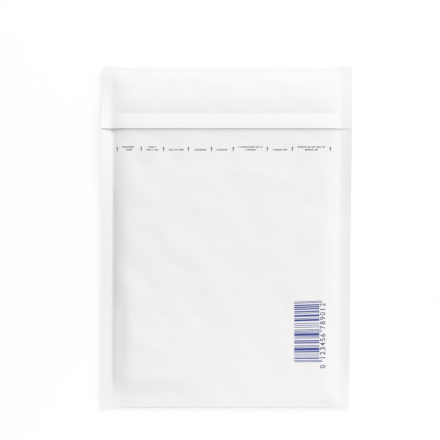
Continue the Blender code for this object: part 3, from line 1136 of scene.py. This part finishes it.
arrow_places, print_lines = mark_row()
arrows = baked(
    "mark_arrows",
    carrier("arrow_places", [(x, MARKS_MIDDLE + ARROW_RISE) for x in arrow_places]),
    arrow_tree(),
    grey_ink,
    Head=ARROW_HEAD,
    Head_Width=ARROW_HEAD_WIDTH,
    Stem=ARROW_STEM,
    Stem_Width=ARROW_STEM_WIDTH,
)
line_ends = [end for line in print_lines for end in line]
small_print = baked(
    "small_print",
    carrier("print_lines", line_ends, [(i, i + 1) for i in range(0, len(line_ends), 2)]),
    print_tree(),
    grey_ink,
    Pitch=LETTER_PITCH,
    Width=LETTER_WIDTH,
    Height=LETTER_HEIGHT,
)
for piece in (arrows, small_print):
    lay_on_front(piece)
print(len(arrow_places), "arrows and", len(print_lines), "lines of small print")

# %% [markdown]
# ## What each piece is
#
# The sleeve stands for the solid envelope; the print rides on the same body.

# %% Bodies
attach(sleeve, "root")
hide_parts("padded_envelope")
for piece, slot in (
    (barcode, "blue_ink"),
    (digits, "grey_ink"),
    (arrows, "grey_ink"),
    (small_print, "grey_ink"),
):
    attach(piece, "root")
print("pieces:", [piece.name for piece in (sleeve, barcode, digits, arrows, small_print)])

# %% [markdown]
# ## Floor and light
#
# A white object on a white floor only shows if the light has a side. One broad softbox stands to the upper
# right, so the slopes that face it brighten and the left crease goes grey. A smaller one overhead and an
# even sky fill the rest. Two weak lamps stand low beyond the top fold and beyond the bottom fold: they skim
# the paper, as light thrown back by a table does, and lift the two folds. Broad lamps give less than their
# level says, so the levels add up to more than 1, and a level sheet still shows in just its own colour. The
# floor is pure white to the camera alone, so it stays white without lighting the paper more.

# %% The floor
FLOOR_SIZE = 3.0
FLOOR_DROP = 0.05 * MM
FLOOR_GLOW = 0.75


def seen_by_eye(wire):
    """1 on the camera's own rays and those passed on by mirrors or glass, 0 on rays that carry light."""
    path = wire.tree.nodes.new("ShaderNodeLightPath")
    kinds = ("Is Camera Ray", "Is Glossy Ray", "Is Transmission Ray")
    straight, mirrored, passed = [Wire(wire.tree, path.outputs[kind]) for kind in kinds]
    return straight.or_else(mirrored.or_else(passed))


def studio_floor():
    bpy.ops.mesh.primitive_plane_add(size=FLOOR_SIZE, location=(0, 0, -FLOOR_DROP))
    floor = bpy.context.object
    floor.name = "studio_floor"
    material, shader, wire = principled("floor_white", 1.0, 0.0)
    speckle = wire.texture("ShaderNodeTexNoise", 40 * MM, Detail=2.0)
    plain = speckle.mapped(0.3, 0.7, 0, 1).tint((0.80, 0.80, 0.80, 1), (0.82, 0.82, 0.82, 1))
    connect(seen_by_eye(wire).tint(plain, (1, 1, 1, 1)), shader, "Base Color")
    glow = wire.node("ShaderNodeEmission", None, {"Color": (1, 1, 1, 1), "Strength": 1.0})
    lit = Wire(material.node_tree, shader.outputs[0])
    mixed = wire.node("ShaderNodeMixShader", None, {0: seen_by_eye(wire) * FLOOR_GLOW, 1: lit, 2: glow})
    output = material.node_tree.nodes["Material Output"]
    material.node_tree.links.new(mixed.socket, output.inputs["Surface"])
    floor.data.materials.append(material)
    return floor


floor = studio_floor()
print("floor:", FLOOR_SIZE, "m across")

# %% Lights
AMBIENT_LEVEL = 0.29

# Each lamp: its name, level, the way towards it, its distance and its size.
LAMPS = (
    ("key_softbox", 0.69, (0.56, 0.66, 1.0), 3.6, 3.6),
    ("top_softbox", 0.14, (0.0, 0.0, 1.0), 2.0, 1.2),
    ("back_softbox", 0.022, (0.0, 0.40, 0.10), 0.42, 0.3),
    ("table_bounce", 0.044, (0.0, -0.30, 0.06), 0.32, 0.3),
)


def softbox(name, level, towards, distance, size):
    """A square lamp aimed at the envelope, bright enough to light a level white sheet to that level."""
    direction = Vector(towards).normalized()
    lamp = bpy.data.lights.new(name, "AREA")
    lamp.shape = "SQUARE"
    lamp.size = size
    lamp.energy = level * math.pi**2 * distance**2 / direction.z
    made = placed(name, lamp)
    made.location = direction * distance
    made.rotation_euler = direction.to_track_quat("Z", "Y").to_euler()
    made.visible_camera = False
    return made


def sky(level):
    world = bpy.data.worlds.new("studio_sky")
    world.use_nodes = True
    bpy.context.scene.world = world
    background = world.node_tree.nodes["Background"]
    lit = seen_by_eye(Wire(world.node_tree)).tint((level, level, level, 1), (1, 1, 1, 1))
    connect(lit, background, "Color")
    background.inputs["Strength"].default_value = 1


for lamp in LAMPS:
    softbox(*lamp)
sky(AMBIENT_LEVEL)
print("levels add up to", round(AMBIENT_LEVEL + sum(level for _, level, *_ in LAMPS), 2))

# %% [markdown]
# ## Camera
#
# The photograph looks square at the front, so here the camera looks straight down. How far away it stands
# and where its axis meets the envelope follow from the envelope's size and place in the picture.

# %% Camera over the front
LENS = 59.5
SENSOR = 36.0
PICTURE = 440
PIXELS_PER_MM = 1.2415
AXIS = (-4.9 * MM, 13.3 * MM)
OUTLINE_HEIGHT = 3.3 * MM

view_width = PICTURE / PIXELS_PER_MM * MM
camera_height = OUTLINE_HEIGHT + view_width * LENS / SENSOR
camera_data = bpy.data.cameras.new("camera")
camera_data.lens = LENS
camera_data.sensor_width = SENSOR
camera = placed("camera", camera_data)
camera.location = (*AXIS, camera_height)
bpy.context.scene.camera = camera
bpy.context.scene.view_settings.view_transform = "Standard"
print("camera", round(camera_height, 3), "m above the floor")
